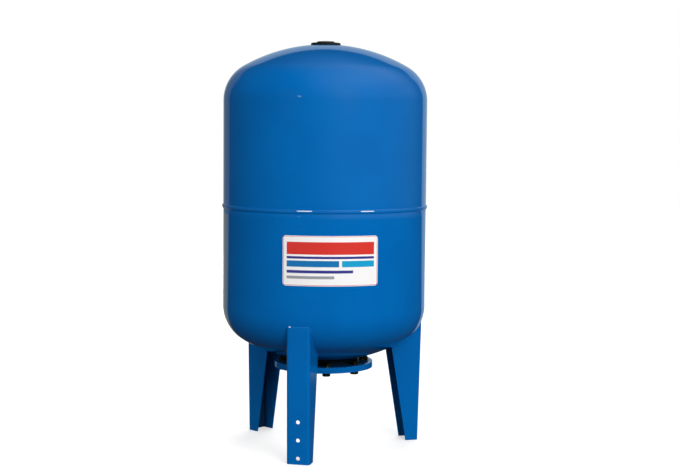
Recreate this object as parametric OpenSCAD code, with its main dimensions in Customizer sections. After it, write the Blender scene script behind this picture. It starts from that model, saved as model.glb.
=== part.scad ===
// Vertical well pressure tank on three welded legs, with a replaceable rubber bladder.
// The origin is on the tank's axis at floor level. +Z is up and the front leg is on -Y.
// Lengths are in millimetres and angles in degrees.

/* [Vessel] */
// Outside radius of the cylindrical wall
shell_r = 225; // [190:1:260]
// Thickness of the drawn steel halves
shell_wall = 1.8; // [1.2:0.1:3]
// Outside radius of the shallow crown of each drawn end
crown_r = 364; // [300:1:420]
// Outside radius of the knuckle between crown and wall
knuckle_r = 87; // [60:1:110]
// Height of the straight wall of the upper half
upper_straight = 231; // [150:1:400]
// Height of the straight wall of the lower half, up to the seam
lower_straight = 222; // [150:1:400]
// Height of the lowest point of the vessel above the floor
ground_clearance = 190.5; // [150:0.5:260]

/* [Girth seam] */
// Height of the lip of the lower half that slips inside the upper half
lap_length = 14; // [8:0.5:24]
// Play between that lip and the upper half
lap_play = 0.1; // [0.05:0.05:0.3]
// Gap between the rim of the upper half and the start of the lip
root_gap = 1; // [0.5:0.1:2]
// Height of the weld bead on each side of its groove
seam_bead_wing = 3.2; // [2:0.1:6]
// How far the weld bead stands out from the wall
seam_bead_proud = 2.8; // [1.5:0.1:4]

/* [Neck and flanges] */
// Outside radius of the neck ring
neck_r = 74; // [60:0.5:90]
// Wall of the neck ring
neck_wall = 4; // [3:0.5:6]
// How far the neck ring stands up inside the vessel
neck_stand = 5; // [3:0.5:10]
// Thickness of the flange that is welded to the neck
flange_t = 8; // [6:0.5:12]
// Thickness of the cover flange that carries the water socket
cover_flange_t = 5; // [4:0.5:10]
// Width of the seat for the bladder's rim, outside the neck
rim_seat = 6; // [4:0.5:9]
// Distance from the rim seat to the bolt circle
bolt_inset = 10; // [9:0.5:16]
// Distance from the bolt circle to the edge of the flanges
bolt_edge = 20; // [15:0.5:30]
// Fillet weld between the neck and the vessel
neck_bead = 4; // [2:0.1:5]
// Fillet weld between the neck and the flange
flange_bead = 2.6; // [1.5:0.1:4]
// Room left between the bolt ends and the vessel
nut_room = 1; // [0.5:0.1:5]

/* [Flange fasteners] */
// Number of bolts
bolt_count = 8; // [6:1:10]
// Turn of the first bolt from the front leg
bolt_turn = 18; // [0:0.5:45]
// Diameter of the bolts
bolt_d = 10; // [8:0.5:11]
// Radial play of a bolt in its holes
hole_play = 0.5; // [0.2:0.1:1]
// Radial play left for the thread of a nut
thread_play = 0.05; // [0.02:0.01:0.1]
// Width across the flats of heads and nuts
hex_flats = 17; // [15:0.5:19]
// Height of a bolt head
head_h = 6.4; // [5:0.1:8]
// Height of a nut
nut_h = 8; // [6:0.1:10]
// Length of thread past the nut
bolt_over = 1.5; // [0.5:0.1:3]
// Outside diameter of a washer
washer_d = 20; // [18:0.5:24]
// Thickness of a washer
washer_t = 2; // [1:0.1:3]

/* [Water connection] */
// Outside diameter of the socket
socket_d = 41; // [38:0.5:50]
// Bore of the socket at the crests of its one inch pipe thread
pipe_bore_d = 30.29; // [26:0.01:34]
// Length of the socket
socket_length = 30; // [24:0.5:45]
// How far the socket hangs below the cover flange
socket_hang = 12; // [8:0.5:20]
// Chamfer at both mouths of the socket
socket_chamfer = 1.5; // [0.5:0.1:2]
// Fillet weld around the socket
socket_bead = 4; // [2:0.1:6]

/* [Bladder] */
// Wall of the rubber bladder
bag_wall = 2.5; // [1.5:0.1:4]
// Thickness of its clamped rim
bag_rim_t = 3; // [2:0.1:5]
// Distance between the filled bladder and the vessel
bag_gap = 40; // [15:1:50]
// Play of the bladder in the neck and of its rim in the seat
bag_play = 0.4; // [0.1:0.1:1]

/* [Legs] */
// Width of the channel across its web
leg_width = 50.5; // [36:0.5:64]
// Thickness of the pressed sheet
leg_sheet = 2.5; // [2:0.1:4]
// Outside radius of the folds
leg_fold_r = 6.5; // [5:0.5:10]
// How far the web stands inside the vessel's radius at the floor
leg_foot_in = 6.6; // [0:0.1:20]
// How far the web stands outside the vessel's radius at its top
leg_top_out = 0.6; // [0.2:0.1:6]
// Distance from the vessel's lower tangent line down to the top of the web
leg_top_below = 22.5; // [10:0.5:40]
// Depth of the channel's sides at the floor
leg_depth_foot = 30; // [20:0.5:50]
// Depth of the channel's sides at the height of the vessel's lowest point
leg_depth_dish = 66; // [50:0.5:75]
// Size of the welds along the top of the legs
leg_bead = 2.6; // [2:0.1:5]
// Diameter of the holes in the web
leg_hole_d = 8.5; // [6:0.1:12]
// Number of holes in each web
leg_hole_count = 3; // [1:1:4]
// Height of the lowest hole
leg_hole_first = 13; // [10:0.5:30]
// Distance between the holes
leg_hole_pitch = 39; // [20:0.5:45]

/* [Air valve] */
// Radius of the boss that is welded into the crown
boss_r = 24; // [22:0.5:26]
// Radius of the well in the boss
well_r = 17; // [14:0.5:19]
// Thickness of the floor of the well
boss_floor = 6; // [4:0.5:10]
// How far the boss stands above the crown
boss_stand = 1.5; // [1:0.1:3]
// Fillet weld around the boss
boss_bead = 2; // [1:0.1:3]
// Diameter of the valve's shank
shank_d = 9.7; // [8:0.1:12]
// Length of the shank below the floor of the well
shank_over = 2; // [1:0.5:5]
// Width across the flats of the valve's hexagon
valve_flats = 13; // [12:0.5:17]
// Height of the valve's hexagon
valve_hex_h = 4; // [3:0.5:6]
// Diameter of the valve's stem
stem_d = 7.7; // [7:0.1:9]
// Length of the stem above the hexagon
stem_h = 9; // [8:0.5:14]
// Diameter of the air way through the valve
airway_d = 3; // [2:0.1:3.5]
// Diameter of the seat of the valve core
core_seat_d = 5.2; // [4.5:0.1:5.6]
// Depth of the seat of the valve core
core_seat_depth = 7; // [5:0.5:8]
// Height of the core's body
core_body_h = 4.9; // [3:0.1:5]
// Diameter of the core's pin
pin_d = 1.6; // [1.2:0.1:1.8]
// Length of the core's pin
pin_length = 13.6; // [10:0.1:16]
// How far the pin stays below the end of the stem
pin_below = 0.4; // [0.2:0.1:1]
// Play between the parts of the valve
valve_play = 0.05; // [0.02:0.01:0.1]
// Outside diameter of the sealing ring
seal_d = 15; // [13:0.5:17]
// Thickness of the sealing ring
seal_t = 1; // [0.8:0.1:2]
// Wall of the dust cap
cap_wall = 1.2; // [0.8:0.1:1.6]
// Length of the stem that the dust cap covers
cap_cover = 7.5; // [5:0.5:8]

/* [Top cover] */
// Radius of the cover
cover_r = 33; // [31:0.5:40]
// Radius of its raised centre
cover_centre_r = 19; // [18.5:0.1:24]
// Wall of the cover
cover_wall = 1.8; // [1.2:0.1:2.4]
// Height of the raised centre above the shoulder
cover_step = 3; // [2.5:0.1:6]
// Bevel around the shoulder
cover_bevel = 1.8; // [0.5:0.1:2.5]
// Gap between the shoulder and the boss
cover_gap = 0.3; // [0.2:0.1:1]
// How deep the cover's collar reaches into the well
collar_depth = 6; // [3:0.5:9]
// Wall of that collar
collar_wall = 1.5; // [1:0.1:2]
// Play of the collar in the well
collar_play = 0.15; // [0.1:0.05:0.3]

/* [Hidden] */
$fn = 144;

// Steps of each arc in an outline
arc_steps = 12;
// Overshoot of a cutting shape past the face that it cuts
cut = 1;
// Angle between the three legs
leg_turn = 120;
paint = [0.03, 0.36, 0.66];
zinc = [0.80, 0.70, 0.35];
brass = [0.75, 0.60, 0.28];
rubber = [0.10, 0.10, 0.11];
black = [0.06, 0.06, 0.06];

// The two ends share one outline, so the vessel's heights follow from its radii.
function arc(x, y, r, from, to) =
    [for (i = [0 : arc_steps])
        let (a = from + (to - from) * i / arc_steps)
        [x + r * cos(a), y + r * sin(a)]];
function crown_drop(r, c, k) = sqrt(pow(c - k, 2) - pow(r - k, 2));
function joint_angle(r, c, k) = 90 - asin((r - k) / (c - k));
function tail(list) = [for (i = [1 : len(list) - 1]) list[i]];
function turned(list) = [for (i = [len(list) - 1 : -1 : 0]) list[i]];

// Outline of an end, from the tangent line at the wall to the axis
function head(r, c, k) = concat(
    arc(r - k, 0, k, 0, joint_angle(r, c, k)),
    tail(arc(0, -crown_drop(r, c, k), c, joint_angle(r, c, k), 90)));

// The same outline grown by g and lifted to the upper end, or hung from the lower one
function upper_head(g) =
    [for (p = head(shell_r + g, crown_r + g, knuckle_r + g)) [p[0], upper_tangent_z + p[1]]];
function lower_head(g) =
    [for (p = head(shell_r + g, crown_r + g, knuckle_r + g)) [p[0], lower_tangent_z - p[1]]];

end_h = crown_r - crown_drop(shell_r, crown_r, knuckle_r);
lower_tangent_z = ground_clearance + end_h;
seam_z = lower_tangent_z + lower_straight;
upper_tangent_z = seam_z + upper_straight;
apex_z = upper_tangent_z + end_h;

// Height of the outside of the lower and upper crown at radius r
function dish_z(r) = ground_clearance + crown_r - sqrt(pow(crown_r, 2) - pow(r, 2));
function crown_z(r) = apex_z - crown_r + sqrt(pow(crown_r, 2) - pow(r, 2));

// Girth seam
lip_r = shell_r - shell_wall - lap_play;
joggle_h = shell_wall + lap_play;
joggle_z = seam_z - root_gap - joggle_h;

// Neck, flanges and their bolts
rim_seat_r = neck_r + rim_seat;
bolt_circle_r = rim_seat_r + bolt_inset;
flange_r = bolt_circle_r + bolt_edge;
hex_corner_r = hex_flats / 2 / cos(30);
flange_top_z = dish_z(bolt_circle_r - hex_corner_r) - nut_room - nut_h - bolt_over;
flange_z = flange_top_z - flange_t;
cover_flange_z = flange_z - cover_flange_t;
rim_top_z = flange_z + bag_rim_t;
neck_top_z = dish_z(neck_r) + neck_stand;
bolt_seat_z = cover_flange_z - washer_t;
bolt_r = bolt_d / 2;
bolt_hole_r = bolt_r + hole_play;
bolt_end_z = flange_top_z + nut_h + bolt_over;

// Water socket
socket_r = socket_d / 2;
pipe_bore_r = pipe_bore_d / 2;
socket_z = cover_flange_z - socket_hang;

// Bladder
bag_neck_r = neck_r - neck_wall - bag_play;
bag_in = shell_wall + bag_gap;

// Legs
leg_top_z = lower_tangent_z - leg_top_below;
leg_foot_r = shell_r - leg_foot_in;
leg_top_r = shell_r + leg_top_out;
leg_lean = atan((leg_top_r - leg_foot_r) / leg_top_z);
function web_r(z) = leg_foot_r + (leg_top_r - leg_foot_r) * z / leg_top_z;
function side_depth(z) = leg_depth_foot + (leg_depth_dish - leg_depth_foot) * z / ground_clearance;
function tip_r(z) = web_r(z) - side_depth(z);

// The leg's weld is deep enough to close the gap behind the top of the web.
function knuckle_at(z) = shell_r - knuckle_r + sqrt(pow(knuckle_r, 2) - pow(lower_tangent_z - z, 2));
web_gap = leg_top_r - leg_sheet - knuckle_at(leg_top_z);
leg_weld_depth = web_gap + leg_sheet / 2;

// Air valve, with the end of its stem level with the top of the boss
boss_top_z = apex_z + boss_stand;
well_depth = seal_t + valve_hex_h + stem_h;
well_z = boss_top_z - well_depth;
boss_z = well_z - boss_floor;
hex_z = well_z + seal_t;
stem_z = hex_z + valve_hex_h;
shank_r = shank_d / 2;
stem_r = stem_d / 2;
core_r = core_seat_d / 2 - valve_play;
cap_r = stem_r + valve_play + cap_wall;

// Top cover
shoulder_z = boss_top_z + cover_gap + cover_wall;
centre_z = shoulder_z + cover_step;
collar_r = well_r - collar_play;

// A solid of revolution from an outline of radius and height
module turn(outline) {
    rotate_extrude() polygon(outline);
}

// A tube between two heights
module tube(r_out, r_in, z0, z1) {
    translate([0, 0, z0])
        difference() {
            cylinder(r = r_out, h = z1 - z0);
            translate([0, 0, -cut]) cylinder(r = r_in, h = z1 - z0 + 2 * cut);
        }
}

// A ring of weld with a sloping face, inside the corner of a wall at r and a floor at z
module fillet_ring(r, z, size, up) {
    turn([[r, z - up * size], [r + size, z - up * size], [r + size, z], [r, z + up * size]]);
}

// The whole outside of the vessel, grown by g, as one solid
module vessel_body(g) {
    turn(concat(turned(lower_head(g)), upper_head(g)));
}

// A hexagon with its outer corners chamfered, for heads and nuts
module hexagon(flats, h, chamfer_top, chamfer_bottom) {
    corner = flats / 2 / cos(30);
    rise = (corner - flats / 2) * tan(30);
    intersection() {
        cylinder(r = corner, h = h, $fn = 6);
        turn([
            [0, 0], [chamfer_bottom ? flats / 2 : corner, 0], [corner, chamfer_bottom ? rise : 0],
            [corner, chamfer_top ? h - rise : h], [chamfer_top ? flats / 2 : corner, h], [0, h]
        ]);
    }
}

// Places its children at every bolt
module at_bolts() {
    for (i = [0 : bolt_count - 1])
        rotate([0, 0, bolt_turn + 360 * i / bolt_count])
            translate([0, -bolt_circle_r, 0]) children();
}

module bolt_holes(z0, z1) {
    at_bolts() translate([0, 0, z0 - cut]) cylinder(r = bolt_hole_r, h = z1 - z0 + 2 * cut);
}

module upper_shell() {
    color(paint) difference() {
        turn(concat(
            [[shell_r, seam_z]], upper_head(0),
            turned(upper_head(-shell_wall)), [[shell_r - shell_wall, seam_z]]));
        translate([0, 0, upper_tangent_z]) cylinder(r = boss_r, h = end_h + cut);
    }
}

// The rim of the lower half is drawn in by one wall, so that it slips inside the upper half.
module lower_shell() {
    color(paint) difference() {
        turn(concat(
            turned(lower_head(0)),
            [[shell_r, joggle_z], [lip_r, joggle_z + joggle_h], [lip_r, seam_z + lap_length]],
            [[lip_r - shell_wall, seam_z + lap_length], [lip_r - shell_wall, joggle_z + joggle_h]],
            [[shell_r - shell_wall, joggle_z]],
            lower_head(-shell_wall)));
        translate([0, 0, ground_clearance - cut]) cylinder(r = neck_r, h = end_h);
    }
}

// The bead fills the groove between the two halves and bulges out over both.
module girth_weld() {
    top = seam_z + seam_bead_wing;
    bottom = joggle_z - seam_bead_wing;
    half = (top - bottom) / 2;
    bulge_r = (pow(half, 2) + pow(seam_bead_proud, 2)) / (2 * seam_bead_proud);
    swing = asin(half / bulge_r);
    color(paint) turn(concat(
        arc(shell_r + seam_bead_proud - bulge_r, bottom + half, bulge_r, -swing, swing),
        [[shell_r, seam_z], [lip_r, seam_z], [lip_r, joggle_z + joggle_h], [shell_r, joggle_z]]));
}

module neck_ring() {
    color(paint) tube(neck_r, neck_r - neck_wall, rim_top_z, neck_top_z);
}

module neck_weld() {
    color(paint) difference() {
        fillet_ring(neck_r, dish_z(neck_r), neck_bead, -1);
        vessel_body(0);
    }
}

module tank_flange() {
    color(paint) difference() {
        tube(flange_r, neck_r, flange_z, flange_top_z);
        translate([0, 0, flange_z - cut]) cylinder(r = rim_seat_r, h = bag_rim_t + cut);
        bolt_holes(flange_z, flange_top_z);
    }
}

module flange_weld() {
    color(paint) turn([
        [neck_r, flange_top_z], [neck_r + flange_bead, flange_top_z], [neck_r, flange_top_z + flange_bead]
    ]);
}

module cover_flange() {
    color(paint) difference() {
        tube(flange_r, socket_r, cover_flange_z, flange_z);
        bolt_holes(cover_flange_z, flange_z);
    }
}

module inlet_socket() {
    color(paint) translate([0, 0, socket_z]) difference() {
        cylinder(r = socket_r, h = socket_length);
        translate([0, 0, -cut]) cylinder(r = pipe_bore_r, h = socket_length + 2 * cut);
        for (end = [0, 1])
            translate([0, 0, end * socket_length])
                mirror([0, 0, end])
                    turn([
                        [0, -cut], [pipe_bore_r + socket_chamfer, -cut],
                        [pipe_bore_r + socket_chamfer, 0],
                        [pipe_bore_r, socket_chamfer], [0, socket_chamfer]
                    ]);
    }
}

module socket_weld() {
    color(paint) turn([
        [socket_r, cover_flange_z], [socket_r + socket_bead, cover_flange_z],
        [socket_r, cover_flange_z - socket_bead]
    ]);
}

// The bag runs a steady distance inside the vessel, and its neck and rim hang down into the flanges.
module bladder() {
    color(rubber) difference() {
        union() {
            vessel_body(-bag_in);
            translate([0, 0, flange_z]) cylinder(r = bag_neck_r, h = lower_tangent_z - flange_z);
            translate([0, 0, flange_z]) cylinder(r = rim_seat_r - bag_play, h = bag_rim_t);
        }
        vessel_body(-bag_in - bag_wall);
        translate([0, 0, flange_z - cut])
            cylinder(r = bag_neck_r - bag_wall, h = lower_tangent_z - flange_z);
    }
}

module flange_bolts() {
    color(zinc) at_bolts() {
        translate([0, 0, bolt_seat_z - head_h]) hexagon(hex_flats, head_h, false, true);
        translate([0, 0, bolt_seat_z]) cylinder(r = bolt_r, h = bolt_end_z - bolt_seat_z);
    }
}

module bolt_washers() {
    color(zinc) at_bolts() tube(washer_d / 2, bolt_hole_r, bolt_seat_z, cover_flange_z);
}

module flange_nuts() {
    color(zinc) at_bolts() translate([0, 0, flange_top_z]) difference() {
        hexagon(hex_flats, nut_h, true, true);
        translate([0, 0, -cut]) cylinder(r = bolt_r + thread_play, h = nut_h + 2 * cut);
    }
}

// A bar across the channel, with its two outer corners rounded
module rounded_bar(width, r, front, depth) {
    for (side = [-1, 1])
        translate([side * (width / 2 - r), front + r]) circle(r = r);
    translate([-width / 2 + r, front]) square([width - 2 * r, depth]);
    translate([-width / 2, front + r]) square([width, depth - r]);
}

// Leans a channel outline from the floor up to the knuckle, on the side of the front leg
module leaned(extra_top) {
    translate([0, -leg_foot_r, 0])
        rotate([leg_lean, 0, 0])
            translate([0, 0, -leg_width])
                linear_extrude(height = leg_top_z + 2 * leg_width + extra_top) children();
}

// The leg from the side: level at the floor and the top, tapering inwards along its free edges
module leg_side(extra_top, past_edge) {
    top = leg_top_z + extra_top;
    translate([-leg_width, 0, 0])
        rotate([90, 0, 90])
            linear_extrude(height = 2 * leg_width)
                polygon([
                    [-leg_top_r - leg_width, 0], [past_edge - tip_r(0), 0],
                    [past_edge - tip_r(top), top], [-leg_top_r - leg_width, top]
                ]);
}

// The filled outside of a leg, grown by g on its outer faces and reaching past its free edges
module leg_envelope(g, past_edge) {
    intersection() {
        leaned(g) rounded_bar(leg_width + 2 * g, leg_fold_r + g, -g, 2 * leg_depth_dish);
        leg_side(g, past_edge);
    }
}

module leg() {
    difference() {
        leg_envelope(0, 0);
        leaned(0)
            rounded_bar(leg_width - 2 * leg_sheet, leg_fold_r - leg_sheet, leg_sheet, 3 * leg_depth_dish);
        vessel_body(0);
        for (i = [0 : leg_hole_count - 1])
            translate([0, -tip_r(0), leg_hole_first + i * leg_hole_pitch])
                rotate([90, 0, 0]) cylinder(d = leg_hole_d, h = 2 * leg_depth_foot);
    }
}

// The weld follows the sides of the leg along the vessel and closes over the top of the web.
module leg_weld() {
    difference() {
        intersection() {
            leg_envelope(leg_bead, 0);
            vessel_body(leg_weld_depth);
        }
        vessel_body(0);
        leg_envelope(0, cut);
    }
}

module leg_front() {
    color(paint) leg();
}

module leg_right() {
    color(paint) rotate([0, 0, leg_turn]) leg();
}

module leg_left() {
    color(paint) rotate([0, 0, -leg_turn]) leg();
}

module leg_front_weld() {
    color(paint) leg_weld();
}

module leg_right_weld() {
    color(paint) rotate([0, 0, leg_turn]) leg_weld();
}

module leg_left_weld() {
    color(paint) rotate([0, 0, -leg_turn]) leg_weld();
}

module valve_boss() {
    color(paint) difference() {
        translate([0, 0, boss_z]) cylinder(r = boss_r, h = boss_top_z - boss_z);
        translate([0, 0, well_z]) cylinder(r = well_r, h = well_depth + cut);
        translate([0, 0, boss_z - cut]) cylinder(r = shank_r + valve_play, h = boss_floor + 2 * cut);
    }
}

module boss_weld() {
    color(paint) difference() {
        fillet_ring(boss_r, crown_z(boss_r), boss_bead, 1);
        vessel_body(0);
    }
}

module valve_body() {
    color(brass) difference() {
        union() {
            translate([0, 0, boss_z - shank_over]) cylinder(r = shank_r, h = hex_z - boss_z + shank_over);
            translate([0, 0, hex_z]) hexagon(valve_flats, valve_hex_h, true, false);
            translate([0, 0, stem_z]) cylinder(r = stem_r, h = stem_h);
        }
        translate([0, 0, boss_z - shank_over - cut])
            cylinder(d = airway_d, h = boss_top_z - boss_z + shank_over + 2 * cut);
        translate([0, 0, boss_top_z - core_seat_depth]) cylinder(d = core_seat_d, h = core_seat_depth + cut);
    }
}

module valve_seal() {
    color(rubber) tube(seal_d / 2, shank_r + valve_play, well_z, hex_z);
}

// The core sits on the step of its seat, with its pin above and below the body.
module valve_core() {
    color(brass) {
        translate([0, 0, boss_top_z - core_seat_depth]) cylinder(r = core_r, h = core_body_h);
        translate([0, 0, boss_top_z - pin_below - pin_length]) cylinder(d = pin_d, h = pin_length);
    }
}

module dust_cap() {
    color(black) translate([0, 0, boss_top_z - cap_cover]) difference() {
        cylinder(r = cap_r, h = cap_cover + cap_wall);
        translate([0, 0, -cut]) cylinder(r = stem_r + valve_play, h = cap_cover + cut);
    }
}

// The cover rests on the crown with its rim and grips the well with its collar.
module top_cover() {
    rim_z = crown_z(cover_r) - cut;
    collar_z = boss_top_z - collar_depth;
    color(black) difference() {
        turn([
            [0, centre_z], [cover_centre_r, centre_z], [cover_centre_r, shoulder_z],
            [cover_r - cover_bevel, shoulder_z], [cover_r, shoulder_z - cover_bevel], [cover_r, rim_z],
            [cover_r - cover_wall, rim_z], [cover_r - cover_wall, shoulder_z - cover_wall],
            [collar_r, shoulder_z - cover_wall], [collar_r, collar_z], [collar_r - collar_wall, collar_z],
            [collar_r - collar_wall, centre_z - cover_wall], [0, centre_z - cover_wall]
        ]);
        vessel_body(0);
    }
}

upper_shell();
lower_shell();
girth_weld();
neck_ring();
neck_weld();
tank_flange();
flange_weld();
cover_flange();
inlet_socket();
socket_weld();
bladder();
flange_bolts();
bolt_washers();
flange_nuts();
leg_front();
leg_right();
leg_left();
leg_front_weld();
leg_right_weld();
leg_left_weld();
valve_boss();
boss_weld();
valve_body();
valve_seal();
valve_core();
dust_cap();
top_cover();
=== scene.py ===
# The looks of a well pressure tank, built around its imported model. Outlines are in
# millimetres, as in the model's source, and each piece is brought to metres when it is finished.
import math

import bmesh
import bpy
from mathutils import Matrix, Vector


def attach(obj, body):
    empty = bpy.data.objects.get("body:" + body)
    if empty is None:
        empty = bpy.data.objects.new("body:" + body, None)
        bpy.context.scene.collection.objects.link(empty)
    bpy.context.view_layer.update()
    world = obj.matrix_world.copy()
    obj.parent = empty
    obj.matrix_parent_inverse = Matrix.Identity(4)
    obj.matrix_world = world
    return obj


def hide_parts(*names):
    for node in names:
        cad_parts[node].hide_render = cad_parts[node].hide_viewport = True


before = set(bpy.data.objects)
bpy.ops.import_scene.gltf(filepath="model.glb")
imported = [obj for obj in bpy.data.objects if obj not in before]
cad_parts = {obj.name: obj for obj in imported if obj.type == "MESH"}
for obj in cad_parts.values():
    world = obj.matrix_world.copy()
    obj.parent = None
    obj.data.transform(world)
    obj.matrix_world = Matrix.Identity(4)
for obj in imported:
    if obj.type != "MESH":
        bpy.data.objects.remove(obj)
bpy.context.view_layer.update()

MM = 0.001
FULL_TURN = 2 * math.pi

# Vessel
SHELL_R = 225
SHELL_WALL = 1.8
CROWN_R = 364
KNUCKLE_R = 87
CLEARANCE = 190.5
LOWER_STRAIGHT = 222
UPPER_STRAIGHT = 231
CROWN_DROP = math.sqrt((CROWN_R - KNUCKLE_R) ** 2 - (SHELL_R - KNUCKLE_R) ** 2)
JOINT_ANGLE = 90 - math.degrees(math.asin((SHELL_R - KNUCKLE_R) / (CROWN_R - KNUCKLE_R)))
END_H = CROWN_R - CROWN_DROP
LOWER_TANGENT_Z = CLEARANCE + END_H
SEAM_Z = LOWER_TANGENT_Z + LOWER_STRAIGHT
UPPER_TANGENT_Z = SEAM_Z + UPPER_STRAIGHT
APEX_Z = UPPER_TANGENT_Z + END_H

# Lip of the lower half inside the upper half, and the bead over the joint
LIP_R = 223.1
JOGGLE_H = 1.9
JOGGLE_Z = SEAM_Z - 2.9
LIP_TOP_Z = SEAM_Z + 14
SEAM_BEAD_HALF = 4.65
SEAM_BEAD_PROUD = 2.8

# Neck, flanges and fasteners
NECK_R = 74
FLANGE_R = 110
FLANGE_TOP_Z = 188.942
FLANGE_Z = FLANGE_TOP_Z - 8
COVER_FLANGE_Z = FLANGE_Z - 5
RIM_SEAT_R = 80
RIM_T = 3
BOLT_CIRCLE_R = 90
BOLT_COUNT = 8
BOLT_TURN = 18
BOLT_R = 5
BOLT_HOLE_R = 5.5
BOLT_SEAT_Z = COVER_FLANGE_Z - 2
BOLT_END_Z = 198.442
HEX_FLATS = 17
HEAD_H = 6.4
NUT_H = 8
SOCKET_R = 20.5
SOCKET_BORE_R = 15.145
SOCKET_Z = COVER_FLANGE_Z - 12
SOCKET_TOP_Z = SOCKET_Z + 30

# Legs, with the front leg on -Y
LEG_HALF = 25.25
LEG_SHEET = 2.5
LEG_FOLD_R = 6.5
LEG_FOOT_R = 218.4
LEG_TOP_R = 225.6
LEG_TOP_Z = LOWER_TANGENT_Z - 22.5
LEG_LEAN = math.atan((LEG_TOP_R - LEG_FOOT_R) / LEG_TOP_Z)
LEG_DEPTH_FOOT = 30
LEG_DEPTH_DISH = 66
LEG_HOLES = (13, 52, 91)
LEG_HOLE_R = 4.25
LEG_TURNS = (("front", 0), ("right", 120), ("left", -120))

# Air valve and cover
BOSS_R = 24
BOSS_TOP_Z = 892.646
WELL_R = 17
WELL_Z = BOSS_TOP_Z - 14
BOSS_Z = WELL_Z - 6
SHOULDER_Z = 894.746
CENTRE_Z = 897.746
COVER_R = 33
COVER_CENTRE_R = 19

# Camera, as placed for the reference view
LENS = 75.74
CAMERA_PLACE = (0.7652, -3.0872, 0.7194)
CAMERA_HEADING = -13.295
CAMERA_DIP = 4.485
CAMERA_ROLL = 0.479


class Field:
    """One output of a shader node. Sums on fields, or on a field and a number, add Math nodes."""

    def __init__(self, tree, socket=None):
        self.tree = tree
        self.socket = socket

    def node(self, kind, settings=(), inputs=(), out=0):
        """A new node: its settings first, then the values or fields of its inputs."""
        made = self.tree.nodes.new(kind)
        for name, value in dict(settings).items():
            setattr(made, name, value)
        for key, value in dict(inputs).items():
            if isinstance(value, Field):
                self.tree.links.new(value.socket, made.inputs[key])
            else:
                made.inputs[key].default_value = value
        return Field(self.tree, made.outputs[out])

    def math(self, operation, first, second=0.0):
        return self.node("ShaderNodeMath", {"operation": operation}, {0: first, 1: second})

    def __add__(self, other):
        return self.math("ADD", self, other)

    def __sub__(self, other):
        return self.math("SUBTRACT", self, other)

    def __rsub__(self, other):
        return self.math("SUBTRACT", other, self)

    def __mul__(self, other):
        return self.math("MULTIPLY", self, other)

    __radd__ = __add__
    __rmul__ = __mul__

    def parts(self):
        """The three coordinates of a place or direction."""
        split = self.node("ShaderNodeSeparateXYZ", (), {0: self})
        return [Field(self.tree, s) for s in split.socket.node.outputs]

    def between(self, low, high):
        """0 where this field is below low and 1 above high, with a soft step."""
        return self.node(
            "ShaderNodeMapRange",
            {"interpolation_type": "SMOOTHSTEP"},
            {"Value": self, "From Min": low, "From Max": high},
        )

    def mixed(self, first, second):
        """The first colour where this field is 0, the second where it is 1."""
        return self.node(
            "ShaderNodeMix", {"data_type": "RGBA"}, {0: self, 6: first, 7: second}, out=2
        )

    def noise(self, scale, detail=2.0, roughness=0.5):
        """Noise over this field's coordinates."""
        return self.node(
            "ShaderNodeTexNoise",
            (),
            {"Vector": self, "Scale": scale, "Detail": detail, "Roughness": roughness},
        )


def rgb(red, green, blue):
    """A colour as it shows on screen, 0 to 255, as the shader's linear values."""
    linear = [
        c / 12.92 if c <= 0.04045 else ((c + 0.055) / 1.055) ** 2.4
        for c in (red / 255, green / 255, blue / 255)
    ]
    return (*linear, 1.0)


def finish(name, **steady):
    """A new material: its shader, with the values that are the same all over, and its coordinates."""
    material = bpy.data.materials.new(name)
    material.use_nodes = True
    shader = material.node_tree.nodes["Principled BSDF"]
    for key, value in steady.items():
        shader.inputs[key.replace("_", " ")].default_value = value
    place = Field(material.node_tree).node("ShaderNodeTexCoord", out="Object")
    return material, shader, place


def feed(shader, **fields):
    """Links fields into the shader's sockets."""
    for key, field in fields.items():
        field.tree.links.new(field.socket, shader.inputs[key.replace("_", " ")])


def bumped(height, distance):
    return height.node("ShaderNodeBump", (), {"Height": height, "Distance": distance})


def under_dish(x, y, z):
    """1 in the recess between the flange and the dish, where the paint is darkened as painted shade."""
    recess = (1 - (x * x + y * y).between(0.096**2, 0.106**2)) * z.between(0.1884, 0.1892)
    return recess * (1 - z.between(0.212, 0.222))


def in_channels(x, y, z):
    """1 on the inside of each leg's web, fading along the folds: where the legs' paint is darkened as painted shade.
    """
    web = 0.001 * LEG_FOOT_R + (LEG_TOP_R - LEG_FOOT_R) / LEG_TOP_Z * z
    fold = 0.001 * LEG_FOLD_R
    shade = None
    for _, degrees in LEG_TURNS:
        turn = math.radians(degrees)
        depth = web - (math.sin(turn) * x - math.cos(turn) * y)
        side = math.cos(turn) * x + math.sin(turn) * y
        past = x.math("MAXIMUM", x.math("ABSOLUTE", side) - (0.001 * LEG_HALF - fold))
        short = x.math("MAXIMUM", fold - depth)
        under_skin = fold - x.math("SQRT", past * past + short * short)
        found = under_skin.between(0.0010, 0.0014) * (0.86 - 0.86 * depth.between(0.004, 0.018))
        shade = found if shade is None else x.math("MAXIMUM", shade, found)
    return shade


def blue_paint(name, roughness, peel, thin=0.12, painted_shade_mask=under_dish):
    """Gloss blue powder coat with a faint orange peel, darkened by painted shade where the shade mask is 1."""
    material, shader, place = finish(name, IOR=1.5)
    recess = painted_shade_mask(*place.parts())
    cloud = place.noise(9, 3).between(0.3, 0.7)
    speck = place.noise(420, 2).between(0.62, 0.8)
    colour = cloud.mixed(rgb(0, 97, 171), rgb(0, 101, 176))
    colour = (speck * thin).mixed(colour, rgb(60, 140, 200))
    fine = place.noise(620, 2)
    # Painted shade: the colour goes dark where the shade mask is 1, in the recess under the dish or inside the leg
    # channels.
    feed(
        shader,
        Base_Color=recess.mixed(colour, rgb(4, 20, 34)),
        Roughness=roughness + 0.05 * fine + 0.6 * recess,
        Normal=bumped(fine + 1.5 * place.noise(130, 1), peel),
    )
    return material


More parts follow.
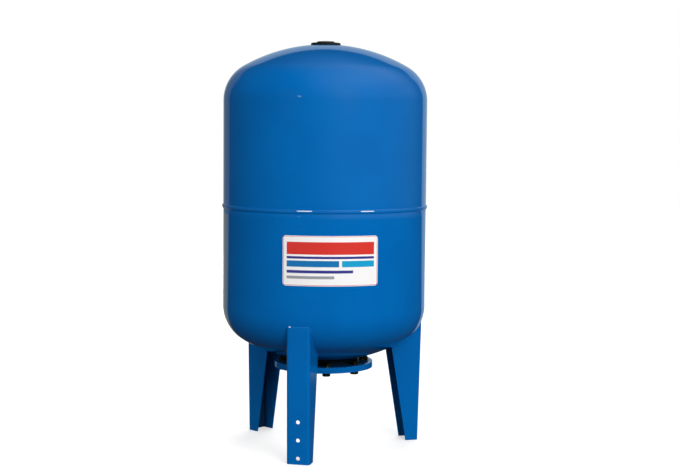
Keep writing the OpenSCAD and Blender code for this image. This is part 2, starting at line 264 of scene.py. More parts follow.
def plastic(name, colour, wear_and_glint, grain, roughness):
    """A moulded part with a fine grain."""
    material, shader, place = finish(name)
    fine = place.noise(grain, 3)
    patch = place.noise(80, 3).between(0.35, 0.75)
    feed(
        shader,
        Base_Color=patch.mixed(colour, wear_and_glint),
        Roughness=roughness + 0.15 * place.noise(150, 2),
        Normal=bumped(fine, 0.00008),
    )
    return material


def plated(name, colour, tint, roughness, glint_colour=None):
    """Metal with a thin uneven coat, fine scratches and small bright spots, which are painted glints where a glint
    colour is given.
    """
    material, shader, place = finish(name, Metallic=1.0)
    cloud = place.noise(110, 4, 0.6).between(0.35, 0.7)
    scratch = place.noise(900, 4, 0.7)
    spot = place.noise(260, 1).between(0.66, 0.70)
    feed(
        shader,
        Base_Color=spot.mixed(cloud.mixed(colour, tint), glint_colour or tint),
        Roughness=roughness + 0.2 * scratch,
        Normal=bumped(scratch, 0.00003),
    )
    return material


def label_print(name):
    """White glossy film with plain bands, placed by the piece's own map."""
    material, shader, place = finish(name, Coat_Weight=0.35, Coat_Roughness=0.15)
    flat = place.node("ShaderNodeUVMap", {"uv_map": "flat"})
    across, up, depth = flat.parts()
    colour = (1 - 0.06 * place.noise(40, 3)).mixed(rgb(225, 224, 224), rgb(243, 241, 241))
    for low, high, start, end, ink in LABEL_BANDS:
        inside = step_up(up, low) * step_down(up, high) * step_up(across, start) * step_down(across, end)
        colour = inside.mixed(colour, ink)
    edge = flat.math("MINIMUM", flat.math("MINIMUM", across, LABEL_W - across), flat.math("MINIMUM", up, LABEL_H - up))
    border = step_up(edge, 1.3) * step_down(edge, 2.3)
    feed(
        shader,
        Base_Color=border.mixed(colour, rgb(214, 70, 58)),
        Roughness=0.35 + 0.1 * place.noise(300, 2),
        Normal=bumped(place.noise(25, 2), 0.0004),
    )
    return material


def step_up(field, at):
    return field.between(at - 0.15, at + 0.15)


def step_down(field, at):
    return 1 - step_up(field, at)


# The label's flat size, and its bands as low, high, start, end and ink
LABEL_W = 206
LABEL_H = 105
LABEL_BANDS = (
    (66, 92, 9, 197, rgb(212, 48, 38)),
    (57, 62, 9, 197, rgb(52, 54, 138)),
    (40, 53, 9, 120, rgb(0, 112, 176)),
    (40, 53, 126, 197, rgb(0, 156, 202)),
    (27, 33, 9, 150, rgb(52, 54, 138)),
    (15, 21, 9, 110, rgb(150, 152, 158)),
)


# Outlines and shapes

def arc(x, y, r, start, end, steps):
    turns = [math.radians(start + (end - start) * i / steps) for i in range(steps + 1)]
    return [(x + r * math.cos(t), y + r * math.sin(t)) for t in turns]


def end_outline(grow, stop_r, knuckle_steps=22, crown_steps=26):
    """Outline of a drawn end, from the tangent line at the wall to the radius stop_r."""
    crown = CROWN_R + grow
    last = math.degrees(math.acos(stop_r / crown))
    return (
        arc(SHELL_R - KNUCKLE_R, 0, KNUCKLE_R + grow, 0, JOINT_ANGLE, knuckle_steps)
        + arc(0, -CROWN_DROP, crown, JOINT_ANGLE, last, crown_steps)[1:]
    )


def upper_end(grow, stop_r):
    return [(r, UPPER_TANGENT_Z + h) for r, h in end_outline(grow, stop_r)]


def lower_end(grow, stop_r):
    return [(r, LOWER_TANGENT_Z - h) for r, h in end_outline(grow, stop_r)]


def wall(r, start, end, steps=6):
    """Points along the straight wall, close together near its ends so that it shades evenly."""
    shares = [0.5 - 0.5 * math.cos(math.pi * i / steps) for i in range(1, steps)]
    return [(r, start + (end - start) * share) for share in shares]


def dish_z(r):
    """Height of the vessel's underside at radius r."""
    if r < (SHELL_R - KNUCKLE_R) * CROWN_R / (CROWN_R - KNUCKLE_R):
        return CLEARANCE + CROWN_R - math.sqrt(CROWN_R**2 - r**2)
    return LOWER_TANGENT_Z - math.sqrt(KNUCKLE_R**2 - (r - SHELL_R + KNUCKLE_R) ** 2)


def turned(outline, steps=144, closed=True):
    """A solid of revolution. An outline that isn't closed has both its ends on the axis."""
    bm = bmesh.new()
    points = [bm.verts.new((r, 0, z)) for r, z in outline]
    for first, second in zip(points, points[1:] + points[:1] if closed else points[1:]):
        bm.edges.new((first, second))
    bmesh.ops.spin(
        bm, geom=bm.verts[:] + bm.edges[:], cent=(0, 0, 0), axis=(0, 0, 1), dvec=(0, 0, 0),
        angle=FULL_TURN, steps=steps, use_merge=True, use_duplicate=False,
    )
    bmesh.ops.remove_doubles(bm, verts=bm.verts[:], dist=0.0005)
    bmesh.ops.recalc_face_normals(bm, faces=bm.faces[:])
    return bm


def welded(bm):
    """Merges points that lie on each other, and so drops faces without area."""
    bmesh.ops.remove_doubles(bm, verts=bm.verts[:], dist=0.001)
    bmesh.ops.dissolve_degenerate(bm, dist=0.001, edges=bm.edges[:])
    return bm


def soften(bm, width, least=30, segments=2):
    """Rounds every edge that turns by more than the least angle."""
    sharp = [
        e for e in bm.edges if e.is_manifold and e.calc_face_angle() > math.radians(least)
    ]
    bmesh.ops.bevel(
        bm, geom=sharp, offset=width, offset_type="OFFSET", segments=segments, profile=0.5,
        affect="EDGES", material=-1, clamp_overlap=True,
    )
    return welded(bm)


def moved(bm, x=0, y=0, z=0, turn=0):
    """Turns a shape about the upright axis after shifting it."""
    bmesh.ops.translate(bm, vec=(x, y, z), verts=bm.verts[:])
    bmesh.ops.rotate(
        bm, cent=(0, 0, 0), matrix=Matrix.Rotation(math.radians(turn), 3, "Z"), verts=bm.verts[:]
    )
    return bm


def loose(bm):
    """A scratch object from a shape."""
    mesh = bpy.data.meshes.new("scratch")
    bm.to_mesh(mesh)
    bm.free()
    obj = bpy.data.objects.new("scratch", mesh)
    bpy.context.scene.collection.objects.link(obj)
    return obj


def taken(obj):
    """The finished shape of a scratch object, which is removed."""
    graph = bpy.context.evaluated_depsgraph_get()
    mesh = bpy.data.meshes.new_from_object(obj.evaluated_get(graph))
    bm = bmesh.new()
    bm.from_mesh(mesh)
    bpy.data.meshes.remove(mesh)
    bpy.data.objects.remove(obj)
    return bm


def worked(body, tool, operation="DIFFERENCE"):
    """Cuts the body with the tool, or keeps what both share."""
    body, tool = loose(body), loose(tool)
    step = body.modifiers.new("work", "BOOLEAN")
    step.operation = operation
    step.solver = "EXACT"
    step.object = tool
    rest = taken(body)
    bpy.data.objects.remove(tool)
    return welded(rest)


def joined(shapes):
    """Several shapes in one mesh, each still its own solid."""
    whole = bmesh.new()
    for bm in shapes:
        mesh = bpy.data.meshes.new("scratch")
        bm.to_mesh(mesh)
        bm.free()
        whole.from_mesh(mesh)
        bpy.data.meshes.remove(mesh)
    return whole


def rod(r, z0, z1, segments=48):
    """An upright cylinder."""
    bm = bmesh.new()
    bmesh.ops.create_cone(
        bm, cap_ends=True, segments=segments, radius1=r, radius2=r, depth=z1 - z0,
        matrix=Matrix.Translation((0, 0, (z0 + z1) / 2)),
    )
    return bm


def round_bolts(make):
    """A copy of a shape at every bolt."""
    return joined(
        moved(make(), y=-BOLT_CIRCLE_R, turn=BOLT_TURN + 360 * i / BOLT_COUNT)
        for i in range(BOLT_COUNT)
    )


def hexagon(flats, z0, z1, top, bottom):
    """A hexagon with rounded corners at its top, its bottom or both."""
    corner = flats / 2 / math.cos(math.radians(30))
    rise = (corner - flats / 2) * math.tan(math.radians(30))
    guard = turned(
        [
            (0, z0), (flats / 2 - 0.2 if bottom else corner + 1, z0),
            (corner + (0 if bottom else 1), z0 + (rise if bottom else 0)),
            (corner + (0 if top else 1), z1 - (rise if top else 0)),
            (flats / 2 - 0.2 if top else corner + 1, z1), (0, z1),
        ],
        48, closed=False,
    )
    return worked(rod(corner, z0, z1, 6), guard, "INTERSECT")


def rippled(bm, ring_r, ring_z, pitch, depth):
    """Gives a round weld bead its ripples, which bow forward over the bead's width."""
    count = round(FULL_TURN * ring_r / pitch)
    for v in bm.verts:
        out = Vector((v.co.x, v.co.y)).length
        turn = math.atan2(v.co.y, v.co.x)
        dr, dz = out - ring_r, v.co.z - ring_z
        bow = 0.5 * dz * dz / (abs(dz) + 1.5)
        swell = depth * math.sin(count * turn + bow) + 0.6 * depth * math.sin(7 * turn + 1)
        size = math.hypot(dr, dz)
        if size > 0.5:
            r, z = ring_r + dr * (1 + swell / size), ring_z + dz * (1 + swell / size)
            v.co = (r * math.cos(turn), r * math.sin(turn), z)
    return bm


def round_bead(r, z, size, up, steps):
    """A fillet weld round an upright wall at r, on a floor at z."""
    face = arc(r, z, size, 0, 90 * up, 5)
    return rippled(turned([(r - 0.4, z - 0.4 * up), *face], steps), r, z, 2.6, 0.12)


def along(points, step):
    """Points at even steps along a line of points."""
    out, left = [Vector(points[0])], step
    for first, second in zip(points, points[1:]):
        first, second = Vector(first), Vector(second)
        length = (second - first).length
        while length >= left:
            first = first.lerp(second, left / length)
            out.append(first.copy())
            length, left = (second - first).length, step
        left -= length
    return out


def bead_along(points, size):
    """A weld bead with ripples along a line."""
    line = bpy.data.curves.new("run", "CURVE")
    line.dimensions = "3D"
    line.bevel_depth = 1
    line.bevel_resolution = 3
    line.use_fill_caps = True
    stops = along(points, 0.8)
    spline = line.splines.new("POLY")
    spline.points.add(len(stops) - 1)
    for i, (point, stop) in enumerate(zip(spline.points, stops)):
        point.co = (*stop, 1)
        ends = min(1, (i + 1) / 4, (len(stops) - i) / 4)
        point.radius = size * ends * (1 + 0.07 * math.sin(i * 1.9) + 0.05 * math.sin(i * 0.23))
    run = bpy.data.objects.new("run", line)
    bpy.context.scene.collection.objects.link(run)
    bm = taken(run)
    bpy.data.curves.remove(line)
    return bm


def piece(name, bm, material, nodes=(), even=True):
    """A finished piece in metres, which rides on the body and stands for the nodes."""
    bmesh.ops.scale(bm, vec=(MM, MM, MM), verts=bm.verts[:])
    for face in bm.faces:
        face.smooth = True
    for edge in bm.edges:
        edge.smooth = not edge.is_manifold or edge.calc_face_angle() < math.radians(48)
    mesh = bpy.data.meshes.new(name)
    bm.to_mesh(mesh)
    bm.free()
    mesh.materials.append(material)
    obj = bpy.data.objects.new(name, mesh)
    bpy.context.scene.collection.objects.link(obj)
    if even:
        obj.modifiers.new("even shading", "WEIGHTED_NORMAL").keep_sharp = True
    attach(obj, "root")
    if nodes:
        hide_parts(*nodes)
    return obj


# Finishes

# Painted highlights: two glints on the lower half of the girth bead, as start and end in degrees from the front leg
SEAM_GLINTS = ((-2.8, 9.4), (31.4, 42.8))


def painted(material):
    """The shader of a finished paint, its colour and its coordinates."""
    shader = material.node_tree.nodes["Principled BSDF"]
    paint = Field(material.node_tree, shader.inputs["Base Color"].links[0].from_socket)
    return shader, paint, paint.node("ShaderNodeTexCoord", out="Object")


def leg_bead_paint():
    """The paint of the legs' welds, with a painted highlight: one bright spot at the front leg's left corner, where a
    glint falls.
    """
    # Strong pale specks on the welds: partly thin paint, partly a painted highlight for the light line along the
    # welds' tops.
    material = blue_paint("gloss_blue_on_leg_welds", 0.14, 0.00001, 0.9)
    shader, paint, place = painted(material)
    x, y, z = place.parts()
    off = x + 0.018
    rise = z - 0.001 * LEG_TOP_Z
    # Painted highlight: a bright spot where a glint falls on the weld's corner.
    painted_glint_spot = 1 - (off * off + rise * rise).between(0.0016**2, 0.0030**2)
    painted_glint_spot = painted_glint_spot * (1 - y.between(-0.21, -0.20))
    feed(shader, Base_Color=painted_glint_spot.mixed(paint, rgb(226, 234, 240)))
    return material


def seam_paint():
    """The paint of the girth bead, with painted highlights: pale glints in two places."""
    material = blue_paint("gloss_blue_on_seam", 0.16, 0.00001, 0.05)
    shader, paint, place = painted(material)
    x, y, z = place.parts()
    turn = x.math("ARCTAN2", x, 0 - y) * (180 / math.pi)
    wear_and_glint = 0
    for start, end in SEAM_GLINTS:
        middle, half = (start + end) / 2, (end - start) / 2
        wear_and_glint = wear_and_glint + (1 - (turn - middle).math("ABSOLUTE", turn - middle).between(0.3 * half, half))
    ragged = place.noise(330, 2)
    low = z.between(0.5349, 0.5355) * (1 - z.between(0.5367, 0.5373))
    share = (wear_and_glint * low * (0.35 + ragged)).between(0.3, 0.5)
    # Painted highlight: pale dashes where the glints fall on the bead.
    feed(shader, Base_Color=share.mixed(paint, rgb(226, 234, 240)))
    return material


body_paint = blue_paint("gloss_blue", 0.04, 0.00001)
bead_paint = blue_paint("gloss_blue_on_welds", 0.14, 0.00001, 0.5)
leg_weld_paint = leg_bead_paint()
# The legs' paint, with painted shade inside the channels.
leg_paint = blue_paint("gloss_blue_on_legs", 0.12, 0.00002, painted_shade_mask=in_channels)
# Yellow zinc darkened to stand in for the shade under the dish (painted shade), with pale yellow spots that are
# painted glints.
zinc = plated("yellow_zinc", rgb(84, 78, 46), rgb(70, 70, 42), 0.34, rgb(226, 214, 84))
brass = plated("turned_brass", rgb(205, 170, 92), rgb(186, 150, 80), 0.2)
rubber = plastic("bag_rubber", rgb(30, 30, 32), rgb(44, 43, 43), 500, 0.6)
seal_rubber = plastic("seal_rubber", rgb(24, 24, 25), rgb(36, 36, 36), 900, 0.5)
cover_plastic = plastic("black_plastic", rgb(17, 17, 17), rgb(30, 29, 26), 1300, 0.34)
label_film = label_print("label_film")
seam_glint_paint = seam_paint()

# Vessel

upper = (
    [(SHELL_R, SEAM_Z), *wall(SHELL_R, SEAM_Z, UPPER_TANGENT_Z)]
    + upper_end(0, BOSS_R)
    + upper_end(-SHELL_WALL, BOSS_R)[::-1]
    + [(SHELL_R - SHELL_WALL, SEAM_Z)]
)
piece("upper_body", turned(upper, 192), body_paint, ["upper_shell"], even=False)

lower = (
    lower_end(0, NECK_R)[::-1]
    + wall(SHELL_R, LOWER_TANGENT_Z, JOGGLE_Z)
    + [(SHELL_R, JOGGLE_Z), (LIP_R, JOGGLE_Z + JOGGLE_H), (LIP_R, LIP_TOP_Z)]
    + [(LIP_R - SHELL_WALL, LIP_TOP_Z), (LIP_R - SHELL_WALL, JOGGLE_Z + JOGGLE_H)]
    + [(SHELL_R - SHELL_WALL, JOGGLE_Z)]
    + lower_end(-SHELL_WALL, NECK_R)
)
piece("lower_body", turned(lower, 192), body_paint, ["lower_shell"], even=False)

bead_mid_z = (SEAM_Z + JOGGLE_Z) / 2
bulge = SEAM_BEAD_PROUD - 0.6
shares = [math.sin(math.pi / 2 * i / 8) for i in range(-8, 9)]
bead = [(SHELL_R + bulge * (1 - t**4), bead_mid_z + SEAM_BEAD_HALF * t) for t in shares]
bead += [(SHELL_R, SEAM_Z), (LIP_R, SEAM_Z), (LIP_R, JOGGLE_Z + JOGGLE_H), (SHELL_R, JOGGLE_Z)]
piece(
    "seam_bead", rippled(turned(bead, 1440), SHELL_R, bead_mid_z, 3.4, 0.1), seam_glint_paint,
    ["girth_weld"], even=False,
)

# Neck and flanges

neck_top_z = dish_z(NECK_R) + 5
neck = [(NECK_R, FLANGE_Z + RIM_T), (NECK_R, neck_top_z), (70, neck_top_z), (70, FLANGE_Z + RIM_T)]
piece("neck", soften(turned(neck), 0.4), body_paint, ["neck_ring"])
piece(
    "neck_bead", round_bead(NECK_R, dish_z(NECK_R), 4, -1, 640), bead_paint, ["neck_weld"],
    even=False,
)
piece(
    "flange_bead", round_bead(NECK_R, FLANGE_TOP_Z, 2.6, 1, 640), bead_paint, ["flange_weld"],
    even=False,
)


def drilled(outline, width):
    plate = soften(turned(outline, 160), width, segments=3)
    holes = round_bolts(lambda: rod(BOLT_HOLE_R, SOCKET_Z, BOLT_END_Z, 40))
    return worked(plate, holes)


tank_flange = [
    (NECK_R, FLANGE_TOP_Z), (FLANGE_R, FLANGE_TOP_Z), (FLANGE_R, FLANGE_Z),
    (RIM_SEAT_R, FLANGE_Z), (RIM_SEAT_R, FLANGE_Z + RIM_T), (NECK_R, FLANGE_Z + RIM_T),
]
piece("upper_flange", drilled(tank_flange, 0.7), body_paint, ["tank_flange"])
cover = [
    (SOCKET_R, FLANGE_Z), (FLANGE_R, FLANGE_Z), (FLANGE_R, COVER_FLANGE_Z), (SOCKET_R, COVER_FLANGE_Z)
]
piece("lower_flange", drilled(cover, 0.7), body_paint, ["cover_flange"])

# The socket's bore carries a pipe thread of eleven turns to the inch.
pitch = 25.4 / 11
thread = []
for i in range(11):
    at = SOCKET_TOP_Z - 2.2 - i * pitch
    thread += [(SOCKET_BORE_R + 1.4, at), (SOCKET_BORE_R + 1.4, at - 0.2), (SOCKET_BORE_R, at - pitch / 2)]
    thread += [(SOCKET_BORE_R, at - pitch / 2 - 0.2)]
socket = (
    [(SOCKET_BORE_R + 1.5, SOCKET_Z), (SOCKET_R - 0.6, SOCKET_Z), (SOCKET_R, SOCKET_Z + 0.6)]
    + [(SOCKET_R, SOCKET_TOP_Z - 0.6), (SOCKET_R - 0.6, SOCKET_TOP_Z)]
    + [(SOCKET_BORE_R + 1.5, SOCKET_TOP_Z)]
    + thread
)
piece("water_socket", turned(socket, 96), body_paint, ["inlet_socket"], even=False)
piece(
    "socket_bead", round_bead(SOCKET_R, COVER_FLANGE_Z, 4, -1, 360), bead_paint, ["socket_weld"],
    even=False,
)

# Fasteners


def bolt():
    head = soften(hexagon(HEX_FLATS, BOLT_SEAT_Z - HEAD_H, BOLT_SEAT_Z, False, True), 0.15, 50, 1)
    shank = [(0, BOLT_SEAT_Z - 0.5), (BOLT_R, BOLT_SEAT_Z - 0.5), (BOLT_R, BOLT_END_Z - 14)]
    turns = 9
    for i in range(turns):
        at = BOLT_END_Z - 14 + i * 1.5
        shank += [(BOLT_R, at + 0.1), (BOLT_R - 0.8, at + 0.7), (BOLT_R - 0.8, at + 0.8), (BOLT_R, at + 1.4)]
    shank += [(BOLT_R, BOLT_END_Z - 0.45), (BOLT_R - 0.7, BOLT_END_Z), (0, BOLT_END_Z)]
    return joined([head, turned(shank, 28, closed=False)])


def nut():
    body = hexagon(HEX_FLATS, FLANGE_TOP_Z, FLANGE_TOP_Z + NUT_H, True, True)
    bore = turned(
        [
            (0, FLANGE_TOP_Z - 1), (BOLT_R + 0.8, FLANGE_TOP_Z - 1), (BOLT_R + 0.05, FLANGE_TOP_Z + 0.6),
            (BOLT_R + 0.05, FLANGE_TOP_Z + NUT_H - 0.6), (BOLT_R + 0.8, FLANGE_TOP_Z + NUT_H + 1),
            (0, FLANGE_TOP_Z + NUT_H + 1),
        ],
        28, closed=False,
    )
    return worked(body, bore)


def washer():
    ring = [
        (BOLT_HOLE_R, BOLT_SEAT_Z), (10, BOLT_SEAT_Z), (10, COVER_FLANGE_Z), (BOLT_HOLE_R, COVER_FLANGE_Z)
    ]
    return soften(turned(ring, 40), 0.25)


piece("bolts", round_bolts(bolt), zinc, ["flange_bolts"])
piece("washers", round_bolts(washer), zinc, ["bolt_washers"])
piece("nuts", round_bolts(nut), zinc, ["flange_nuts"])

# Bladder

BAG = -41.8
BAG_WALL = 2.5
bag_neck_r = 69.6
bag = (
    [(bag_neck_r - BAG_WALL, FLANGE_Z), (79.6, FLANGE_Z), (79.6, FLANGE_Z + RIM_T), (bag_neck_r, FLANGE_Z + RIM_T)]
    + lower_end(BAG, bag_neck_r)[::-1]
    + wall(SHELL_R + BAG, LOWER_TANGENT_Z, UPPER_TANGENT_Z)
    + upper_end(BAG, 0)
)
bag += (
    upper_end(BAG - BAG_WALL, 0)[::-1]
    + wall(SHELL_R + BAG - BAG_WALL, UPPER_TANGENT_Z, LOWER_TANGENT_Z)
    + lower_end(BAG - BAG_WALL, bag_neck_r - BAG_WALL)
)
piece("water_bag", turned(bag, 128), rubber, ["bladder"], even=False)

# Legs


def leg_r(z):
    return LEG_FOOT_R + (LEG_TOP_R - LEG_FOOT_R) * z / LEG_TOP_Z


def edge_r(z):
    """Distance of a leg's free edges from the axis."""
    return leg_r(z) - LEG_DEPTH_FOOT - (LEG_DEPTH_DISH - LEG_DEPTH_FOOT) * z / CLEARANCE


def trimmed(bm, place, facing):
    """Cuts away what lies beyond a plane, and closes the cut."""
    bmesh.ops.bisect_plane(
        bm, geom=bm.verts[:] + bm.edges[:] + bm.faces[:], plane_co=place, plane_no=facing,
        clear_outer=True,
    )
    bmesh.ops.holes_fill(bm, edges=[e for e in bm.edges if e.is_boundary])
    return bm


def channel():
    """One leg: folded from sheet, level at both ends, tapered, drilled, and cut to the dish."""
    mid, deep, inner = LEG_HALF - LEG_FOLD_R, 2 * LEG_DEPTH_DISH, LEG_FOLD_R - LEG_SHEET
    section = (
        [(-LEG_HALF, deep)]
        + arc(-mid, LEG_FOLD_R, LEG_FOLD_R, 180, 270, 8)
        + arc(mid, LEG_FOLD_R, LEG_FOLD_R, 270, 360, 8)
        + [(LEG_HALF, deep), (LEG_HALF - LEG_SHEET, deep)]
        + arc(mid, LEG_FOLD_R, inner, 360, 270, 8)
        + arc(-mid, LEG_FOLD_R, inner, 270, 180, 8)
        + [(-LEG_HALF + LEG_SHEET, deep)]
    )
    bm = bmesh.new()
    face = bm.faces.new([bm.verts.new((x, y, -40)) for x, y in section])
    grown = bmesh.ops.extrude_face_region(bm, geom=[face])["geom"]
    top = [g for g in grown if isinstance(g, bmesh.types.BMVert)]
    bmesh.ops.translate(bm, vec=(0, 0, LEG_TOP_Z + 80), verts=top)
    bmesh.ops.recalc_face_normals(bm, faces=bm.faces[:])
    bmesh.ops.rotate(bm, cent=(0, 0, 0), matrix=Matrix.Rotation(LEG_LEAN, 3, "X"), verts=bm.verts[:])
    bmesh.ops.translate(bm, vec=(0, -LEG_FOOT_R, 0), verts=bm.verts[:])
    trimmed(bm, (0, 0, 0), (0, 0, -1))
    trimmed(bm, (0, 0, LEG_TOP_Z), (0, 0, 1))
    rise = edge_r(0) - edge_r(LEG_TOP_Z)
    trimmed(bm, (0, -edge_r(0), 0), (0, LEG_TOP_Z, -rise))
    drills = []
    for height in LEG_HOLES:
        drill = rod(LEG_HOLE_R, 0, 40, 40)
        bmesh.ops.rotate(
            drill, cent=(0, 0, 0), matrix=Matrix.Rotation(math.radians(90), 3, "X"), verts=drill.verts[:]
        )
        drills.append(moved(drill, y=-200, z=height))
    bm = soften(worked(bm, joined(drills)), 0.3, 40)
    vessel = lower_end(0, 0)[::-1] + [(SHELL_R, SEAM_Z), (0, SEAM_Z)]
    return worked(bm, turned(vessel, 192, closed=False))


def leg_run():
    """The line of the weld: up one side along the dish, over the top of the web and down again."""
    tip = edge_r(dish_z(edge_r(CLEARANCE)))
    side = []
    for i in range(25):
        out = tip + (218 - tip) * i / 24
        side.append((LEG_HALF, -out, dish_z(math.hypot(out, LEG_HALF))))
    side += [(LEG_HALF - 1.2, -219.9, LEG_TOP_Z - 0.4), (LEG_HALF - 4.2, -221.2, LEG_TOP_Z)]
    over = [(x, -math.sqrt(222.9**2 - x * x), LEG_TOP_Z + 0.2) for x in (14, 9, 4.5)]
    half = side + over
    return half + [(0, -222.9, LEG_TOP_Z + 0.2)] + [(-x, y, z) for x, y, z in half[::-1]]


for side, turn in LEG_TURNS:
    piece(f"{side}_leg", moved(channel(), turn=turn), leg_paint, [f"leg_{side}"])
    piece(
        f"{side}_leg_bead", moved(bead_along(leg_run(), 2.2), turn=turn), leg_weld_paint,
        [f"leg_{side}_weld"], even=False,
    )

# Air valve under the cover

boss = [
    (5, BOSS_Z), (BOSS_R, BOSS_Z), (BOSS_R, BOSS_TOP_Z), (WELL_R, BOSS_TOP_Z), (WELL_R, WELL_Z), (5, WELL_Z)
]
piece("valve_seat", soften(turned(boss, 96), 0.5), body_paint, ["valve_boss"])
crown_z = APEX_Z - CROWN_R + math.sqrt(CROWN_R**2 - BOSS_R**2)
piece(
    "seat_bead", round_bead(BOSS_R, crown_z, 2, 1, 360), bead_paint, ["boss_weld"],
    even=False,
)
shank = [(1.5, BOSS_Z - 2), (4.25, BOSS_Z - 2), (4.85, BOSS_Z - 1.4), (4.85, WELL_Z + 1), (1.5, WELL_Z + 1)]
stem_z = WELL_Z + 5
stem = [(2.6, stem_z - 4), (3.85, stem_z - 4)]
for i in range(8):
    at = stem_z + 1 + i * 0.9
    stem += [(3.85, at), (3.5, at + 0.3), (3.5, at + 0.45), (3.85, at + 0.75)]
stem += [(3.85, BOSS_TOP_Z - 0.4), (3.5, BOSS_TOP_Z), (2.6, BOSS_TOP_Z)]
nut_hole = rod(2.6, WELL_Z, stem_z + 1, 32)
valve = [
    turned(shank, 40), turned(stem, 40),
    worked(hexagon(13, WELL_Z + 1, stem_z, True, False), nut_hole),
]
piece("air_valve", joined(valve), brass, ["valve_body"])
ring = [(4.9, WELL_Z), (7.5, WELL_Z), (7.5, WELL_Z + 1), (4.9, WELL_Z + 1)]
piece("valve_ring", soften(turned(ring, 48), 0.25), seal_rubber, ["valve_seal"])
core_z = BOSS_TOP_Z - 7
core = [(0, core_z), (2.55, core_z), (2.55, core_z + 4.9), (0.9, core_z + 4.9), (0.8, BOSS_TOP_Z - 0.7)]
core += [(0.5, BOSS_TOP_Z - 0.4), (0, BOSS_TOP_Z - 0.4)]
pin = [(0, BOSS_TOP_Z - 14), (0.6, BOSS_TOP_Z - 14), (0.8, BOSS_TOP_Z - 13.7), (0.8, core_z + 0.5), (0, core_z + 0.5)]
piece(
    "valve_insert", joined([turned(core, 28, closed=False), turned(pin, 20, closed=False)]), brass,
    ["valve_core"],
)
cap_z = BOSS_TOP_Z - 7.5
cap_top_z = BOSS_TOP_Z + 1.2
cap = [
    (3.9, cap_z), (5.1, cap_z), (5.1, cap_top_z - 0.5), (4.6, cap_top_z), (0, cap_top_z),
    (0, BOSS_TOP_Z), (3.9, BOSS_TOP_Z),
]
cap_shape = turned(cap[5:] + cap[:5], 72, closed=False)
for v in cap_shape.verts:
    groove = round(math.degrees(math.atan2(v.co.y, v.co.x)) / 5) % 3 == 0
    if groove and Vector((v.co.x, v.co.y)).length > 5 and v.co.z > cap_z + 0.1:
        v.co.x *= 0.96
        v.co.y *= 0.96
piece("valve_cap", cap_shape, cover_plastic, ["dust_cap"])

rim_z = APEX_Z - CROWN_R + math.sqrt(CROWN_R**2 - COVER_R**2)
skin = 1.8
cover = [
    (0, CENTRE_Z), (COVER_CENTRE_R, CENTRE_Z), (COVER_CENTRE_R + 0.5, SHOULDER_Z),
    (COVER_R - skin, SHOULDER_Z), (COVER_R, SHOULDER_Z - skin), (COVER_R, rim_z),
    (COVER_R - skin, rim_z + 0.2), (COVER_R - skin, SHOULDER_Z - skin), (16.85, SHOULDER_Z - skin),
    (16.85, BOSS_TOP_Z - 6), (15.35, BOSS_TOP_Z - 6), (15.35, CENTRE_Z - skin), (0, CENTRE_Z - skin),
]
piece(
    "top_cap", soften(turned(cover, 96, closed=False), 0.5, 25, 3), cover_plastic, ["top_cover"],
)

# Label, cut flat and then bent round the wall

LABEL_AZIMUTH = 17.5
LABEL_LOW_Z = 380
CORNER = 7
LABEL_T = 0.18


def label_sheet():
    x, y = LABEL_W - CORNER, LABEL_H - CORNER
    outline = (
        arc(x, y, CORNER, 0, 90, 6) + arc(CORNER, y, CORNER, 90, 180, 6)
        + arc(CORNER, CORNER, CORNER, 180, 270, 6) + arc(x, CORNER, CORNER, 270, 360, 6)
    )
    bm = bmesh.new()
    bm.faces.new([bm.verts.new((px, 0, pz)) for px, pz in outline])
    for i in range(1, 60):
        bmesh.ops.bisect_plane(
            bm, geom=bm.verts[:] + bm.edges[:] + bm.faces[:], plane_co=(LABEL_W * i / 60, 0, 0),
            plane_no=(1, 0, 0),
        )
    flat = bm.loops.layers.uv.new("flat")
    for f in bm.faces:
        for loop in f.loops:
            loop[flat].uv = (loop.vert.co.x, loop.vert.co.z)
    for v in bm.verts:
        turn = math.radians(LABEL_AZIMUTH) + (v.co.x - LABEL_W / 2) / SHELL_R
        v.co = (SHELL_R * math.sin(turn), -SHELL_R * math.cos(turn), LABEL_LOW_Z + v.co.z)
    bmesh.ops.recalc_face_normals(bm, faces=bm.faces[:])
    if sum(f.normal.dot(f.calc_center_median()) for f in bm.faces) < 0:
        bmesh.ops.reverse_faces(bm, faces=bm.faces[:])
    bmesh.ops.solidify(bm, geom=bm.faces[:], thickness=-LABEL_T)
    bmesh.ops.recalc_face_normals(bm, faces=bm.faces[:])
    return bm


piece("band_label", label_sheet(), label_film, even=False)

# Floor, lamps and camera

scene = bpy.context.scene
scene.view_settings.view_transform = "Standard"

floor_shape = bmesh.new()
bmesh.ops.create_circle(floor_shape, cap_ends=True, segments=96, radius=9000)
floor = loose(floor_shape)
floor.name = "floor"
floor.data.transform(Matrix.Scale(MM, 4))

pale = bpy.data.materials.new("pale_floor")
pale.use_nodes = True
ground = Field(pale.node_tree)
for node in list(pale.node_tree.nodes):
    pale.node_tree.nodes.remove(node)


def sight(start):
    """1 for what the camera, a mirror or glass shows, 0 for light that bounces off."""
    rays = start.node("ShaderNodeLightPath", out="Is Camera Ray")
    found = {s.name: Field(start.tree, s) for s in rays.socket.node.outputs}
    seen = start.math("MAXIMUM", found["Is Camera Ray"], found["Is Transmission Ray"])
    return seen, found["Is Glossy Ray"]


heading = math.radians(CAMERA_HEADING)


def turned_to_view(field):
    """How far a place or direction goes away from the reference view, to its right and up."""
    east, north, up = field.parts()
    away = math.sin(heading) * east + math.cos(heading) * north
    right = math.cos(heading) * east - math.sin(heading) * north
    return away, right, up


def inside(away, right):
    """1 within the width of the backdrop, as seen from the tank."""
    return (right + 0.96 * away).between(-0.06, 0.06) * (1 - (right - 0.75 * away).between(-0.04, 0.04))


def paper(right, left_colour=(0.2, 0.21, 0.19, 1)):
    """The backdrop's colour: dim on the left and paler on the right."""
    return right.between(-0.45, -0.1).mixed(left_colour, (0.4, 0.53, 0.64, 1))


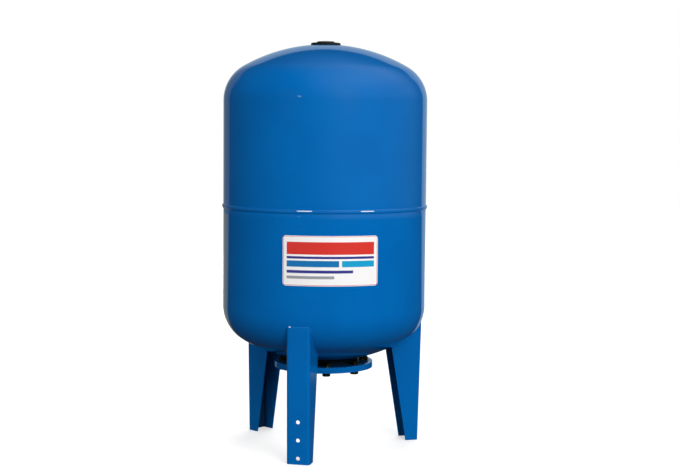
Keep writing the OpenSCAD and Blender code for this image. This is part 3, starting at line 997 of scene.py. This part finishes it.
seen, mirrored = sight(ground)
dark = ground.node("ShaderNodeBsdfDiffuse", (), {"Color": rgb(97, 97, 97)})
light = ground.node("ShaderNodeBsdfDiffuse", (), {"Color": rgb(205, 205, 205)})
away, right, up = turned_to_view(ground.node("ShaderNodeTexCoord", out="Object"))
beyond = (away * away + right * right).between(4, 16)
glow = ground.node(
    "ShaderNodeEmission", (), {"Color": beyond.mixed((0.55, 0.55, 0.55, 1), (1, 1, 1, 1))}
)
lit = ground.node("ShaderNodeAddShader", (), {0: light, 1: glow})
far = away.between(0.6, 1.0) * inside(away, right)
image = ground.node(
    "ShaderNodeEmission", (), {"Color": far.mixed((0.02, 0.022, 0.025, 1), paper(right, (0.36, 0.34, 0.19, 1)))}
)
surface = ground.node("ShaderNodeMixShader", (), {0: mirrored, 1: dark, 2: image})
surface = ground.node("ShaderNodeMixShader", (), {0: seen, 1: surface, 2: lit})
under = ground.node("ShaderNodeNewGeometry", out="Backfacing")
clear = ground.node("ShaderNodeBsdfTransparent")
surface = ground.node("ShaderNodeMixShader", (), {0: under, 1: surface, 2: clear})
end = pale.node_tree.nodes.new("ShaderNodeOutputMaterial")
pale.node_tree.links.new(surface.socket, end.inputs["Surface"])
floor.data.materials.append(pale)

world = bpy.data.worlds.new("studio")
world.use_nodes = True
scene.world = world
sky = Field(world.node_tree)
seen, mirrored = sight(sky)
away, right, up = turned_to_view(sky.node("ShaderNodeTexCoord", out="Generated"))
backdrop = inside(away, right) * (1 - (up - 0.6 * away).between(-0.03, 0.03))
room = right.between(-0.5, 0.45) * (1 - away.between(0.3, 0.8))
room = 0.03 + room * (0.1 + 0.2 * up.between(-0.05, 0.3) + 0.28 * up.between(0.35, 0.8))
mirror = backdrop.mixed(room.mixed((0, 0, 0, 1), (1, 1, 0.75, 1)), paper(right))
colour = mirrored.mixed((0.56, 0.56, 0.56, 1), mirror)
colour = seen.mixed(colour, (1, 1, 1, 1))
world.node_tree.links.new(colour.socket, world.node_tree.nodes["Background"].inputs["Color"])


def lamp(name, azimuth, elevation, distance, size, power, glossy):
    """A square lamp that faces the tank, at an azimuth to the right of the camera's view."""
    data = bpy.data.lights.new(name, "AREA")
    data.size = size
    data.energy = power
    obj = bpy.data.objects.new(name, data)
    scene.collection.objects.link(obj)
    turn = math.radians(azimuth) - heading
    lift = math.radians(elevation)
    out = Vector((math.sin(turn) * math.cos(lift), -math.cos(turn) * math.cos(lift), math.sin(lift)))
    obj.location = Vector((0, 0, 0.5)) + distance * out
    obj.rotation_euler = out.to_track_quat("Z", "Y").to_euler()
    obj.visible_glossy = glossy
    return obj


lamp("key", 25, 17, 4.5, 2.0, 138, False)
lamp("side", 80, 10, 4.5, 2.0, 20, False)
lamp("fill", -39, 16, 4.5, 2.0, 26, False)
lamp("back", 168, 20, 4.5, 2.4, 110, False)
lamp("glint", -27, 13, 3.0, 0.14, 0.3, True)

dip = math.radians(CAMERA_DIP)
roll = math.radians(CAMERA_ROLL)
forward = Vector((math.sin(heading) * math.cos(dip), math.cos(heading) * math.cos(dip), -math.sin(dip)))
level = Vector((math.cos(heading), -math.sin(heading), 0))
upward = level.cross(forward)
across = math.cos(roll) * level + math.sin(roll) * upward
top = math.cos(roll) * upward - math.sin(roll) * level
camera_data = bpy.data.cameras.new("camera")
camera_data.lens = LENS
camera_data.sensor_width = 36
camera_data.clip_end = 100
camera = bpy.data.objects.new("camera", camera_data)
scene.collection.objects.link(camera)
camera.matrix_world = Matrix.Translation(CAMERA_PLACE) @ Matrix((across, top, -forward)).transposed().to_4x4()
scene.camera = camera
